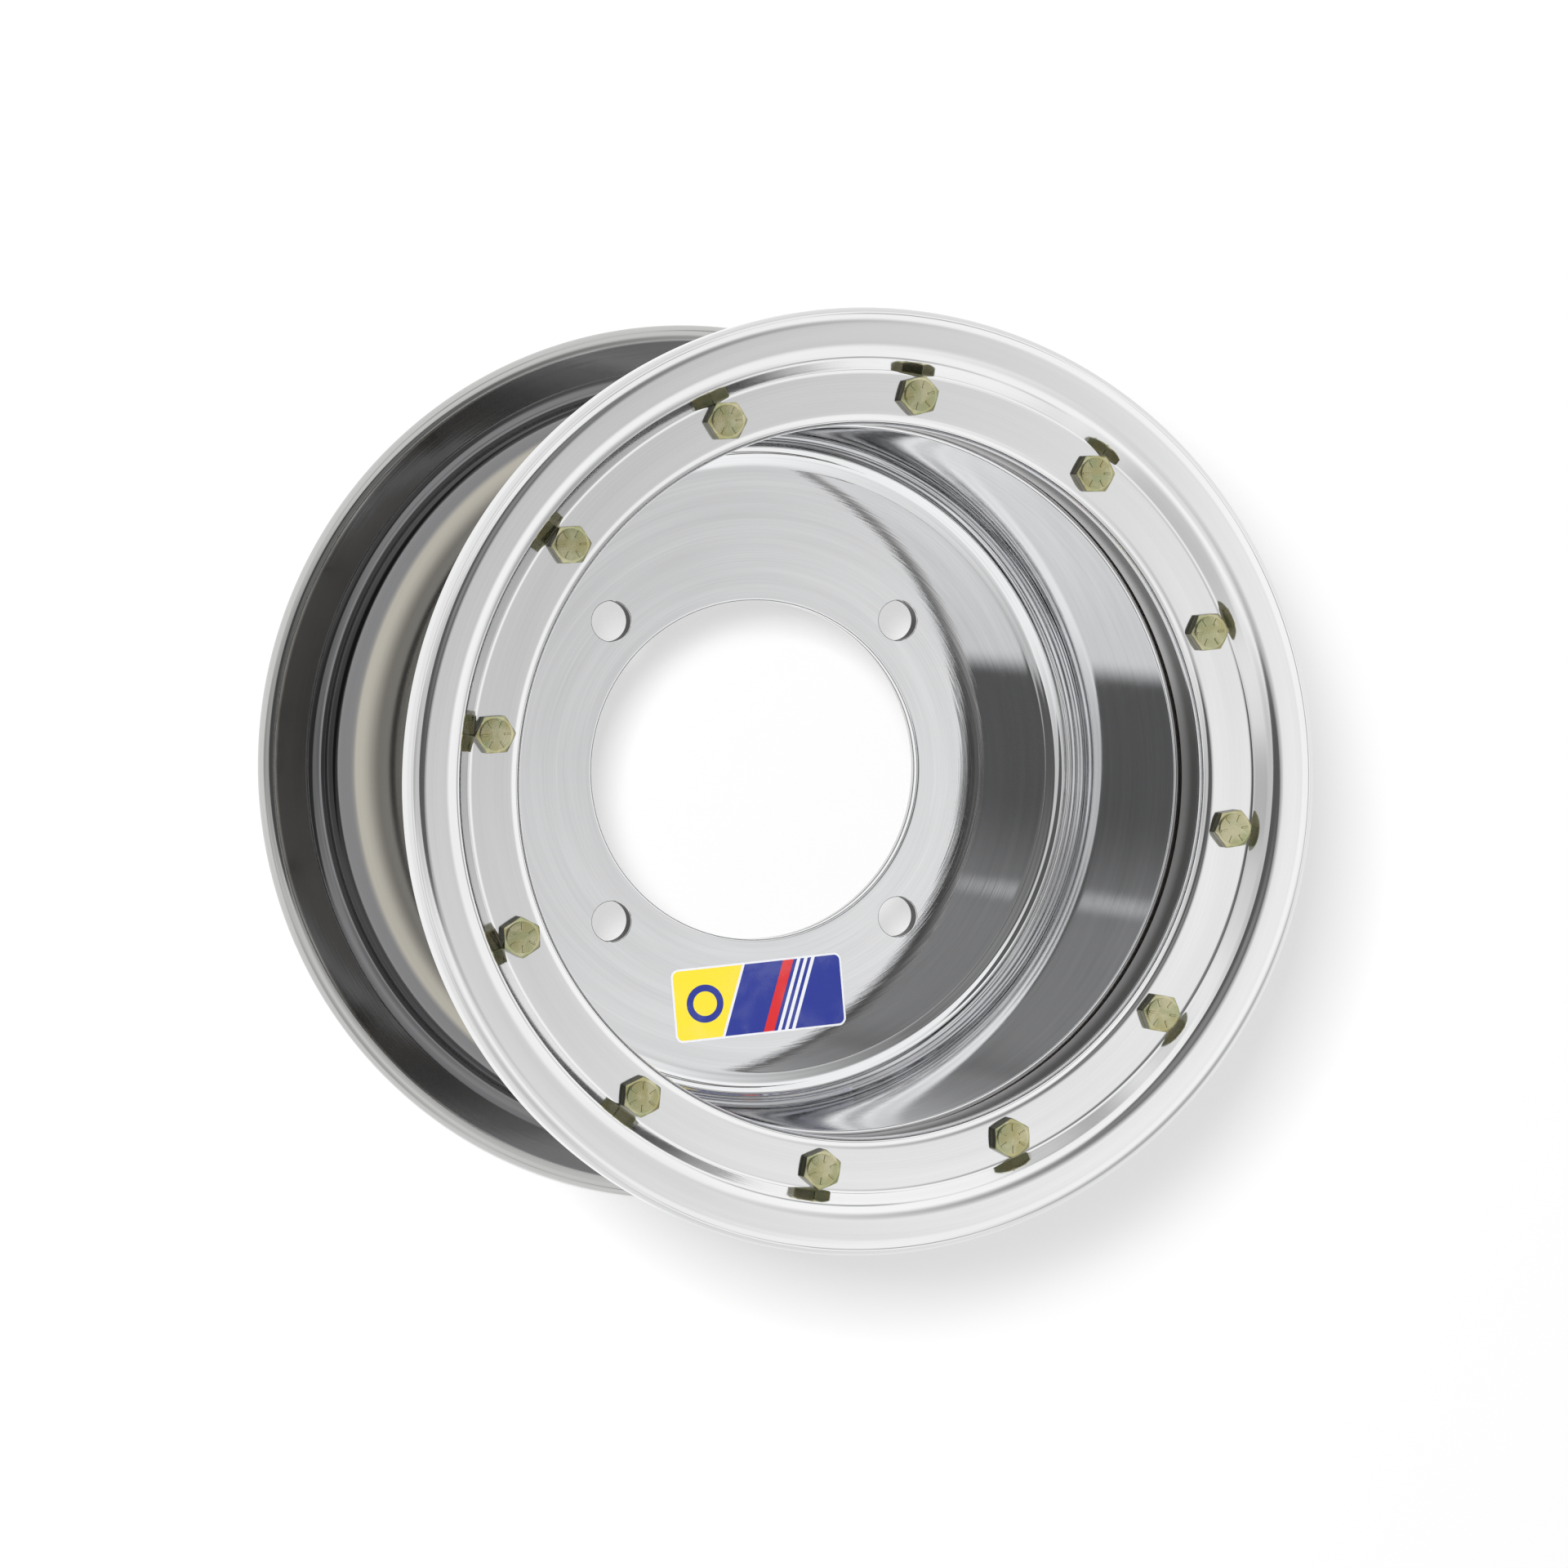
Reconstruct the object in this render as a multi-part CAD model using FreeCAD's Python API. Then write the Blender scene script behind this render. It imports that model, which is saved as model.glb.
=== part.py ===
import FreeCAD, Part
import math
import os

# Beadlock wheel for a small off-road vehicle: two spun halves back to back, a fixed bead ring
# on the front of the barrel, and a clamp ring bolted over it. All sizes in millimetres.
# Z is the axle line, +Z is the outboard side, and Z = 0 is the face that meets the vehicle's hub.

# Spun sheet and hub
sheet = 3.4                    # wall of both spun halves
hub_bore_dia = 110.0
lug_circle_dia = 137.0
lug_count = 4
lug_first_deg = 45.0
lug_hole_dia = 13.2
lug_cone_dia = 16.0            # mouth of the cone that takes the nut
lug_cone_depth = 1.6
corner_radius = 11.0           # inside bend from hub disc to barrel
barrel_bore_dia = 218.4
sheet_edge_round = 0.8

# Rear half, from the well to the rolled rim
well_end_z = -35.2             # where the well starts to rise to the bead seat
well_bend = 40.0
seat_toe_dia = 251.0           # inner end of the tapered bead seat
seat_toe_z = -51.8
toe_bend = 18.0
seat_heel_dia = 253.6          # outer end of the bead seat, at the flange
heel_bend = 5.5
flange_z = -71.0               # front face of the rear flange
rim_dia = 294.0
roll_radius = 4.6              # outside radius of the rolled rim
roll_inside_dia = 282.6        # where the rolled sheet ends

# Fixed bead ring
barrel_front_z = 103.4         # front end of the spun barrel
weld_gap = 2.6                 # open groove between the barrel's end and the ring's shoulder
bead_ring_bore_dia = 220.6
bead_flange_dia = 274.0
barrel_reach = 2.6             # the barrel's end stands this far into the ring's socket
bead_flange_thickness = 6.0
front_seat_dia = 253.2         # ledge that carries the front bead
front_seat_width = 15.8
front_seat_fillet = 3.0
bead_ring_edge = 1.2

# Clamp ring
clamp_bore_dia = 219.0
clamp_thickness = 5.9
clamp_bore_round = 3.4
land_dia = 252.0               # outer end of the flat land under the bolt heads
step_width = 5.4               # the sloping wall, across
step_height = 5.3              # and up
step_foot_bend = 1.8
step_crest_bend = 6.5
clamp_dia = 290.8
clamp_lip_depth = 12.0         # the outer lip turns back by this much
clamp_lip_bend = 4.8
clamp_inside_bend = 1.2
clamp_edge_round = 1.4

# Clamp bolts
bolt_count = 12
bolt_first_deg = 22.5
bolt_circle_dia = 239.0
bolt_dia = 6.35
bolt_length = 25.4
bolt_head_sides = 6
bolt_head_flats = 11.1
bolt_head_height = 4.0
bolt_head_chamfer_deg = 30.0
bolt_tip_chamfer = 0.8
bolt_hole_play = 0.65          # over the bolt's diameter, in the clamp ring
thread_play = 0.1              # over the bolt's diameter, in the bead ring

# Valve hole and welds
valve_hole_dia = 11.5
valve_angle_deg = 180.0
valve_z = 62.0
seat_play = 0.1                # between the barrel and the ring and weld around it
ring_weld_leg = 5.0
hub_weld_gap = 5.0             # width of the groove between the halves where its weld ends
hub_weld_play = 0.05
hub_weld_crown = 0.8

# Heights and radii that follow from them
hub_front_z = 2 * sheet
barrel_bore_r = barrel_bore_dia / 2
barrel_r = barrel_bore_r + sheet
outer_corner = corner_radius + sheet
bead_flange_back_z = barrel_front_z - barrel_reach
bead_flange_front_z = bead_flange_back_z + bead_flange_thickness
clamp_back_z = bead_flange_front_z + front_seat_width
land_z = clamp_back_z + clamp_thickness
crest_z = land_z + step_height
bead_ring_socket_r = barrel_r + seat_play

AXIS = FreeCAD.Vector(0, 0, 1)
ORIGIN = FreeCAD.Vector(0, 0, 0)


def rounded_outline(corners):
    """Closed outline in the r-z plane from (r, z, rounding) corners, each rounding a tangent arc."""
    points = [FreeCAD.Vector(r, 0, z) for r, z, _ in corners]
    count = len(corners)
    starts, ends, arcs = [], [], []
    for i, (_, _, radius) in enumerate(corners):
        here = points[i]
        back = (points[i - 1] - here).normalize()
        ahead = (points[(i + 1) % count] - here).normalize()
        if radius <= 0:
            starts.append(here)
            ends.append(here)
            arcs.append(None)
            continue
        half_angle = back.getAngle(ahead) / 2
        run = radius / math.tan(half_angle)
        middle = (back + ahead).normalize()
        nearest = here + middle * (radius / math.sin(half_angle) - radius)
        starts.append(here + back * run)
        ends.append(here + ahead * run)
        arcs.append(Part.Arc(starts[i], nearest, ends[i]).toShape())
    edges = []
    for i in range(count):
        following = (i + 1) % count
        if arcs[i]:
            edges.append(arcs[i])
        if ends[i].distanceToPoint(starts[following]) > 1e-6:
            edges.append(Part.LineSegment(ends[i], starts[following]).toShape())
    return Part.Wire(edges)


def turned(corners):
    """Ring turned about the axle line from a closed outline of (r, z, rounding) corners."""
    return Part.Face(rounded_outline(corners)).revolve(ORIGIN, AXIS, 360)


def spun(path, thickness):
    """Sheet of even thickness spun about the axle line. The path runs along one face as
    (r, z, bend) corners, and the sheet lies on its right-hand side."""
    runs = []
    for (r0, z0, _), (r1, z1, _) in zip(path, path[1:]):
        length = math.hypot(r1 - r0, z1 - z0)
        runs.append(((r1 - r0) / length, (z1 - z0) / length))
    far_side = []
    for i, (r, z, bend) in enumerate(path):
        before = runs[max(i - 1, 0)]
        after = runs[min(i, len(runs) - 1)]
        share = thickness / (1 + before[0] * after[0] + before[1] * after[1])
        far_r = r + (before[1] + after[1]) * share
        far_z = z - (before[0] + after[0]) * share
        turns_left = before[0] * after[1] - before[1] * after[0] > 0
        far_bend = bend + thickness if turns_left else bend - thickness
        far_side.append((far_r, far_z, far_bend if bend > 0 else 0))
    ends = (0, len(path) - 1)
    corners = []
    for side in (path, far_side):
        rounded = []
        for i, (r, z, bend) in enumerate(side):
            rounded.append((r, z, sheet_edge_round if i in ends else bend))
        corners.append(rounded)
    return turned(corners[0] + corners[1][::-1])


def around(solid, count, first_deg):
    """Copies of a solid at even angles about the axle line."""
    copies = []
    for i in range(count):
        copy = solid.copy()
        copy.rotate(ORIGIN, AXIS, first_deg + 360.0 / count * i)
        copies.append(copy)
    return copies


def upright_hole(dia, circle_dia, low_z, high_z):
    """Plain drill along the axle line, on the X side of a circle."""
    base = FreeCAD.Vector(circle_dia / 2, 0, low_z)
    return Part.makeCylinder(dia / 2, high_z - low_z, base, AXIS)


def lug_holes():
    """The four stud holes through both hub discs, coned at the front for the nuts."""
    drill = upright_hole(lug_hole_dia, lug_circle_dia, -sheet, hub_front_z + sheet)
    mouth = FreeCAD.Vector(lug_circle_dia / 2, 0, hub_front_z - lug_cone_depth)
    cone = Part.makeCone(lug_hole_dia / 2, lug_cone_dia / 2, lug_cone_depth, mouth, AXIS)
    return around(drill.fuse(cone), lug_count, lug_first_deg)


def front_half():
    """Polished outboard half: hub disc and barrel spun as one bowl."""
    bowl = spun(
        [
            (hub_bore_dia / 2, hub_front_z, 0),
            (barrel_bore_r, hub_front_z, corner_radius),
            (barrel_bore_r, barrel_front_z, 0),
        ],
        sheet,
    )
    valve = Part.makeCylinder(valve_hole_dia / 2, barrel_r, FreeCAD.Vector(corner_radius, 0, valve_z),
                              FreeCAD.Vector(1, 0, 0))
    valve.rotate(ORIGIN, AXIS, valve_angle_deg)
    return bowl.cut(lug_holes() + [valve])


def rear_half():
    """Inboard half: second hub disc, tyre well, tapered bead seat, flange and rolled rim."""
    roll_back_z = flange_z - 2 * roll_radius
    bowl = spun(
        [
            (hub_bore_dia / 2, sheet, 0),
            (barrel_r, sheet, outer_corner),
            (barrel_r, well_end_z, well_bend),
            (seat_toe_dia / 2, seat_toe_z, toe_bend),
            (seat_heel_dia / 2, flange_z, heel_bend),
            (rim_dia / 2, flange_z, roll_radius),
            (rim_dia / 2, roll_back_z, roll_radius),
            (roll_inside_dia / 2, roll_back_z, 0),
        ],
        sheet,
    )
    return bowl.cut(lug_holes())


def bead_ring():
    """Fixed ring on the barrel's front end: inner flange, ledge for the front bead, tapped holes."""
    shoulder_z = barrel_front_z + weld_gap
    ring = turned(
        [
            (bead_ring_bore_dia / 2, clamp_back_z, bead_ring_edge),
            (bead_ring_bore_dia / 2, shoulder_z, bead_ring_edge),
            (bead_ring_socket_r, shoulder_z, 0),
            (bead_ring_socket_r, bead_flange_back_z, 0),
            (bead_flange_dia / 2, bead_flange_back_z, bead_ring_edge),
            (bead_flange_dia / 2, bead_flange_front_z, bead_ring_edge),
            (front_seat_dia / 2, bead_flange_front_z, front_seat_fillet),
            (front_seat_dia / 2, clamp_back_z, bead_ring_edge),
        ]
    )
    tapped = upright_hole(bolt_dia + thread_play, bolt_circle_dia, bead_flange_back_z - sheet,
                          clamp_back_z + sheet)
    return ring.cut(around(tapped, bolt_count, bolt_first_deg))


def clamp_ring():
    """Outer ring: flat land for the bolts, sloping step, and a lip that turns back over the bead."""
    land_r = land_dia / 2
    lip_r = clamp_dia / 2
    crest_r = land_r + step_width
    step_length = math.hypot(step_width, step_height)
    under_shift = clamp_thickness * (step_length - step_width) / step_height
    lip_end_z = crest_z - clamp_lip_depth
    ring = turned(
        [
            (clamp_bore_dia / 2, clamp_back_z, bead_ring_edge),
            (clamp_bore_dia / 2, land_z, clamp_bore_round),
            (land_r, land_z, step_foot_bend),
            (crest_r, crest_z, step_crest_bend),
            (lip_r, crest_z, clamp_lip_bend),
            (lip_r, lip_end_z, clamp_edge_round),
            (lip_r - clamp_thickness, lip_end_z, clamp_edge_round),
            (lip_r - clamp_thickness, crest_z - clamp_thickness, clamp_inside_bend),
            (crest_r + under_shift, crest_z - clamp_thickness, clamp_inside_bend),
            (land_r + under_shift, clamp_back_z, clamp_inside_bend),
        ]
    )
    drill = upright_hole(bolt_dia + bolt_hole_play, bolt_circle_dia, clamp_back_z - sheet, land_z + sheet)
    return ring.cut(around(drill, bolt_count, bolt_first_deg))


def clamp_bolt():
    """Hex-head bolt seated on the land, its head's corners turned off at the top."""
    centre = FreeCAD.Vector(bolt_circle_dia / 2, 0, land_z)
    side_angle = 2 * math.pi / bolt_head_sides
    corner_r = bolt_head_flats / 2 / math.cos(side_angle / 2)
    corners = []
    for i in range(bolt_head_sides):
        angle = side_angle * (i + 0.5)
        corners.append(centre + FreeCAD.Vector(math.cos(angle), math.sin(angle), 0) * corner_r)
    head = Part.Face(Part.makePolygon(corners + corners[:1])).extrude(AXIS * bolt_head_height)
    cone_slope = math.tan(math.radians(bolt_head_chamfer_deg))
    cone_height = bolt_head_flats / 2 * cone_slope + bolt_head_height
    cone_r = cone_height / cone_slope
    cone = Part.makeCone(cone_r, 0, cone_height, centre, AXIS)
    crown = head.common(cone)
    shank_end = centre - AXIS * bolt_length
    shank = Part.makeCylinder(bolt_dia / 2, bolt_length - bolt_tip_chamfer,
                              shank_end + AXIS * bolt_tip_chamfer, AXIS)
    tip = Part.makeCone(bolt_dia / 2 - bolt_tip_chamfer, bolt_dia / 2, bolt_tip_chamfer, shank_end, AXIS)
    return crown.fuse([shank, tip]).removeSplitter()


def clamp_bolts():
    """All the clamp bolts, as separate solids on their circle."""
    return Part.makeCompound(around(clamp_bolt(), bolt_count, bolt_first_deg))


def ring_weld():
    """Fillet weld behind the bead ring, round the outside of the barrel."""
    return turned(
        [
            (bead_ring_socket_r, bead_flange_back_z, 0),
            (bead_ring_socket_r, bead_flange_back_z - ring_weld_leg, 0),
            (bead_ring_socket_r + ring_weld_leg, bead_flange_back_z, 0),
        ]
    )


def hub_weld():
    """Weld at the bottom of the groove where the two halves bend away from each other."""
    bend = outer_corner + hub_weld_play
    centre_r = barrel_r - outer_corner
    half_gap = hub_weld_gap / 2
    side = math.sqrt(bend ** 2 - (outer_corner - half_gap) ** 2)
    inner = math.sqrt(bend ** 2 - outer_corner ** 2)
    root = FreeCAD.Vector(centre_r + inner, 0, sheet)
    upper = FreeCAD.Vector(centre_r + side, 0, sheet + half_gap)
    lower = FreeCAD.Vector(centre_r + side, 0, sheet - half_gap)
    crown = FreeCAD.Vector(centre_r + side + hub_weld_crown, 0, sheet)
    lean = (math.atan2(inner, outer_corner) + math.atan2(side, outer_corner - half_gap)) / 2
    bulge_r = centre_r + bend * math.sin(lean)
    bulge_z = outer_corner - bend * math.cos(lean)
    upper_side = FreeCAD.Vector(bulge_r, 0, sheet + bulge_z)
    lower_side = FreeCAD.Vector(bulge_r, 0, sheet - bulge_z)
    edges = [
        Part.Arc(root, upper_side, upper).toShape(),
        Part.Arc(upper, crown, lower).toShape(),
        Part.Arc(lower, lower_side, root).toShape(),
    ]
    return Part.Face(Part.Wire(edges)).revolve(ORIGIN, AXIS, 360)


pieces = {
    "front_half": front_half(),
    "rear_half": rear_half(),
    "bead_ring": bead_ring(),
    "clamp_ring": clamp_ring(),
    "clamp_bolts": clamp_bolts(),
    "ring_weld": ring_weld(),
    "hub_weld": hub_weld(),
}

os.makedirs("parts", exist_ok=True)
for name, shape in pieces.items():
    shape.exportStep("parts/" + name + ".step")
    print(name, len(shape.Solids), "solids", round(shape.Volume), "mm3")
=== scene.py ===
import bpy
import bmesh
import math
from mathutils import Matrix, Vector


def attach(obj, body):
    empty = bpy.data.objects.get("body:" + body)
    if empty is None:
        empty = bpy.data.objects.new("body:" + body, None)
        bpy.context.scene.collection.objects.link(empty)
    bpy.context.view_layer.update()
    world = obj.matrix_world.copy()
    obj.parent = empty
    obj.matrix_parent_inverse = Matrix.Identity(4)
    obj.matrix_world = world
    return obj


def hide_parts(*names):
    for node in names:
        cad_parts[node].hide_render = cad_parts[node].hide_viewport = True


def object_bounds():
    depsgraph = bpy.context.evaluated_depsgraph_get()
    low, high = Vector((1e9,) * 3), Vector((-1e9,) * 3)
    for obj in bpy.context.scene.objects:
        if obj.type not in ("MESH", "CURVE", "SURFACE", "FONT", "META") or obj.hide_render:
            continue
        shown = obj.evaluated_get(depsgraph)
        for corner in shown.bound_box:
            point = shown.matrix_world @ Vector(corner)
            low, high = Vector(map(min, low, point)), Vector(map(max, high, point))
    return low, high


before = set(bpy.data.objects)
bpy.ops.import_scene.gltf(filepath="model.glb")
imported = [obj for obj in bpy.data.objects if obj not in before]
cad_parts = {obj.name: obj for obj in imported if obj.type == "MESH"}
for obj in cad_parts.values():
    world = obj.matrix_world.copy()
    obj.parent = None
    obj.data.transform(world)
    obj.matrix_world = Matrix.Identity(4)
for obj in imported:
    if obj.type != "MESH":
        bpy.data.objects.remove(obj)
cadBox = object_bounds()
scene = bpy.context.scene
scene.view_settings.view_transform = "Standard"
mm = 0.001
print("frame loaded:", ", ".join(sorted(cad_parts)))


# camera, fitted to the wheel's circles in the photograph
photoCamera = {
    "place": (-0.6007, 0.0676, 2.0395),
    "right": (0.9577, 0.0, 0.2876),
    "back": (-0.2874, 0.0340, 0.9572),
    "lens": 150.0,
    "sensor": 36.0,
    "reach": 50.0,
}


def makeCamera(spec):
    back = Vector(spec["back"]).normalized()
    right = Vector(spec["right"])
    right = (right - back * right.dot(back)).normalized()
    turn = Matrix((right, back.cross(right), back)).transposed().to_4x4()
    data = bpy.data.cameras.new("photoCamera")
    data.lens = spec["lens"]
    data.sensor_width = spec["sensor"]
    data.clip_end = spec["reach"]
    camera = bpy.data.objects.new("photoCamera", data)
    camera.matrix_world = Matrix.Translation(spec["place"]) @ turn
    scene.collection.objects.link(camera)
    scene.camera = camera


makeCamera(photoCamera)
print("camera set")


# small helpers for node trees
def addNode(tree, kind, **settings):
    node = tree.nodes.new(kind)
    for key, value in settings.items():
        setattr(node, key, value)
    return node


def feed(tree, socket, value):
    if isinstance(value, bpy.types.NodeSocket):
        tree.links.new(value, socket)
    else:
        socket.default_value = value


def calc(tree, operation, *values):  # one Math node, gives its output
    node = addNode(tree, "ShaderNodeMath", operation=operation)
    for socket, value in zip(node.inputs, values):
        feed(tree, socket, value)
    return node.outputs[0]


def spread(tree, value, low, high, toLow=0.0, toHigh=1.0, smooth=False):  # Map Range
    node = addNode(tree, "ShaderNodeMapRange")
    node.interpolation_type = "SMOOTHSTEP" if smooth else "LINEAR"
    for name, part in (("Value", value), ("From Min", low), ("From Max", high),
                       ("To Min", toLow), ("To Max", toHigh)):
        feed(tree, node.inputs[name], part)
    return node.outputs["Result"]


def blendColour(tree, mask, first, second, mode="MIX"):
    node = addNode(tree, "ShaderNodeMix", data_type="RGBA", blend_type=mode)
    for index, part in ((0, mask), (6, first), (7, second)):
        feed(tree, node.inputs[index], part)
    return node.outputs[2]


def greyOf(tree, tone):  # a grey from one value
    node = addNode(tree, "ShaderNodeCombineColor")
    for socket in node.inputs:
        feed(tree, socket, tone)
    return node.outputs[0]


def noiseAt(tree, place, scale, detail=2.0, distortion=0.0):
    node = addNode(tree, "ShaderNodeTexNoise")
    feed(tree, node.inputs["Vector"], place)
    feed(tree, node.inputs["Scale"], scale)
    node.inputs["Detail"].default_value = detail
    node.inputs["Distortion"].default_value = distortion
    return node.outputs["Fac"]


def hypotenuse(tree, first, second):
    squares = calc(tree, "ADD", calc(tree, "MULTIPLY", first, first), calc(tree, "MULTIPLY", second, second))
    return calc(tree, "SQRT", squares)


def between(tree, value, low, high):  # 1 from low to high, else 0
    over = calc(tree, "GREATER_THAN", value, low)
    return calc(tree, "MULTIPLY", over, calc(tree, "LESS_THAN", value, high))


def rgb(red, green, blue):
    return (red, green, blue, 1.0)


# studio: pale floor, soft surround with dimmer and paler parts, and a soft lamp for the shadow
studio = {
    "floorHeight": cadBox[0][2],
    "floorHalf": 6.0,
    "floorColour": rgb(0.40, 0.40, 0.40),
    "floorGlow": 0.60,
    "farGlow": 0.24,                   # more of it far off, where the lamp fades
    "farFrom": 0.7,
    "farTo": 2.6,
    "surround": 1.0,
    "fill": 0.4,                       # the surround's share as light on matt things
    "horizon": {"level": 0.38, "low": 0.20, "high": 0.33, "soft": 0.05, "noise": 2.2, "uneven": (0.35, 0.6)},
    "patches": [                       # each over those before it, full within and gone beyond (degrees)
        {"toward": (-0.75, 0.10, 0.65), "level": 0.60, "within": 12.0, "beyond": 38.0},
        {"toward": (-0.955, 0.03, 0.295), "level": 0.50, "within": 5.0, "beyond": 15.0},
        {"toward": (-0.06, -0.33, 0.94), "level": 0.80, "within": 8.0, "beyond": 24.0},
        {"toward": (-0.62, -0.74, 0.26), "level": 0.62, "within": 3.0, "beyond": 34.0},
        {"toward": (0.80, -0.54, 0.26), "level": 0.45, "within": 3.0, "beyond": 34.0},
        {"toward": (-0.05, 0.20, 0.978), "level": 0.22, "within": 8.0, "beyond": 33.0},
        {"toward": (-0.2835, 0.1912, 0.9397), "level": 0.105, "within": 21.4, "beyond": 23.8},
        {"toward": (-0.12, 0.28, 0.952), "level": 0.24, "within": 6.0, "beyond": 19.0},
        {"toward": (-0.268, 0.20, 0.942), "level": 0.50, "within": 0.2, "beyond": 1.7},
    ],
    "lampFrom": (-0.80, 0.27, 2.20),
    "lampSize": 0.28,
    "lampPower": 52.0,
}


def makeFloor(spec):
    half = spec["floorHalf"]
    height = spec["floorHeight"]
    mesh = bpy.data.meshes.new("studioFloor")
    mesh.from_pydata([(-half, -half, height), (half, -half, height), (half, half, height),
                      (-half, half, height)], [], [(0, 1, 2, 3)])
    material = bpy.data.materials.new("paleFloor")
    material.use_nodes = True
    tree = material.node_tree
    tree.nodes.clear()
    matt = addNode(tree, "ShaderNodeBsdfDiffuse")
    matt.inputs["Color"].default_value = spec["floorColour"]
    glow = addNode(tree, "ShaderNodeEmission")
    path = addNode(tree, "ShaderNodeLightPath")
    seen = calc(tree, "MAXIMUM", path.outputs["Is Camera Ray"], path.outputs["Is Glossy Ray"])
    seen = calc(tree, "MAXIMUM", seen, path.outputs["Is Transmission Ray"])
    away = addNode(tree, "ShaderNodeVectorMath", operation="LENGTH")
    feed(tree, away.inputs[0], addNode(tree, "ShaderNodeTexCoord").outputs["Object"])
    extra = spread(tree, away.outputs["Value"], spec["farFrom"], spec["farTo"], 0.0, spec["farGlow"])
    extra = calc(tree, "MULTIPLY", extra, path.outputs["Is Camera Ray"])
    feed(tree, glow.inputs["Strength"], calc(tree, "MULTIPLY_ADD", seen, spec["floorGlow"], extra))
    both = addNode(tree, "ShaderNodeAddShader")
    feed(tree, both.inputs[0], matt.outputs[0])
    feed(tree, both.inputs[1], glow.outputs[0])
    out = addNode(tree, "ShaderNodeOutputMaterial")
    feed(tree, out.inputs["Surface"], both.outputs[0])
    mesh.materials.append(material)
    floor = bpy.data.objects.new("studioFloor", mesh)
    scene.collection.objects.link(floor)


def makeSurround(spec):
    world = bpy.data.worlds.new("softSurround")
    world.use_nodes = True
    scene.world = world
    tree = world.node_tree
    tree.nodes.clear()
    heading = addNode(tree, "ShaderNodeTexCoord").outputs["Generated"]
    level = spec["surround"]
    band = spec["horizon"]             # an uneven darker band low down all round
    apart = addNode(tree, "ShaderNodeSeparateXYZ")
    feed(tree, apart.inputs[0], heading)
    rise = apart.outputs["Z"]
    soft = band["soft"]
    over = spread(tree, rise, band["low"] - soft, band["low"] + soft, smooth=True)
    under = spread(tree, rise, band["high"] + soft, band["high"] - soft, smooth=True)
    share = calc(tree, "MULTIPLY", over, under)
    uneven = spread(tree, noiseAt(tree, heading, band["noise"]), *band["uneven"])
    share = calc(tree, "MULTIPLY", share, uneven)
    level = calc(tree, "MULTIPLY_ADD", share, band["level"] - level, level)
    for patch in spec["patches"]:
        near = addNode(tree, "ShaderNodeVectorMath", operation="DOT_PRODUCT")
        feed(tree, near.inputs[0], heading)
        near.inputs[1].default_value = Vector(patch["toward"]).normalized()
        angle = calc(tree, "ARCCOSINE", calc(tree, "MINIMUM", near.outputs["Value"], 1.0))
        share = spread(tree, angle, math.radians(patch["beyond"]), math.radians(patch["within"]), smooth=True)
        step = calc(tree, "SUBTRACT", patch["level"], level)
        level = calc(tree, "MULTIPLY_ADD", step, share, level)
    path = addNode(tree, "ShaderNodeLightPath")
    shown = calc(tree, "MAXIMUM", path.outputs["Is Glossy Ray"], path.outputs["Is Transmission Ray"])
    level = calc(tree, "MULTIPLY", level, spread(tree, shown, 0.0, 1.0, spec["fill"], 1.0))
    plain = calc(tree, "SUBTRACT", 1.0, level)
    level = calc(tree, "MULTIPLY_ADD", plain, path.outputs["Is Camera Ray"], level)
    back = addNode(tree, "ShaderNodeBackground")
    back.inputs["Color"].default_value = rgb(1.0, 1.0, 1.0)
    feed(tree, back.inputs["Strength"], level)
    out = addNode(tree, "ShaderNodeOutputWorld")
    feed(tree, out.inputs["Surface"], back.outputs[0])


def makeLamp(spec):
    data = bpy.data.lights.new("softLamp", "AREA")
    data.size = spec["lampSize"]
    data.energy = spec["lampPower"]
    lamp = bpy.data.objects.new("softLamp", data)
    lamp.location = spec["lampFrom"]
    lamp.rotation_mode = "QUATERNION"
    lamp.rotation_quaternion = (-Vector(spec["lampFrom"])).to_track_quat("-Z", "Y")
    lamp.visible_glossy = False
    scene.collection.objects.link(lamp)


makeFloor(studio)
makeSurround(studio)
makeLamp(studio)
print("studio set")


# shader groups that several finishes share
def newGroup(name, inputs, outputs):
    tree = bpy.data.node_groups.new(name, "ShaderNodeTree")
    for label, value in inputs:
        tree.interface.new_socket(label, in_out="INPUT", socket_type="NodeSocketFloat").default_value = value
    for label in outputs:
        tree.interface.new_socket(label, in_out="OUTPUT", socket_type="NodeSocketFloat")
    return tree, addNode(tree, "NodeGroupInput").outputs, addNode(tree, "NodeGroupOutput").inputs


def roundTheAxle(tree):  # radius, height and the two parts of the bearing
    apart = addNode(tree, "ShaderNodeSeparateXYZ")
    feed(tree, apart.inputs[0], addNode(tree, "ShaderNodeTexCoord").outputs["Object"])
    x, y, z = apart.outputs
    radius = calc(tree, "MAXIMUM", hypotenuse(tree, x, y), 0.0001)  # never nought, for the divisions
    return radius, z, calc(tree, "DIVIDE", x, radius), calc(tree, "DIVIDE", y, radius)


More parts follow.
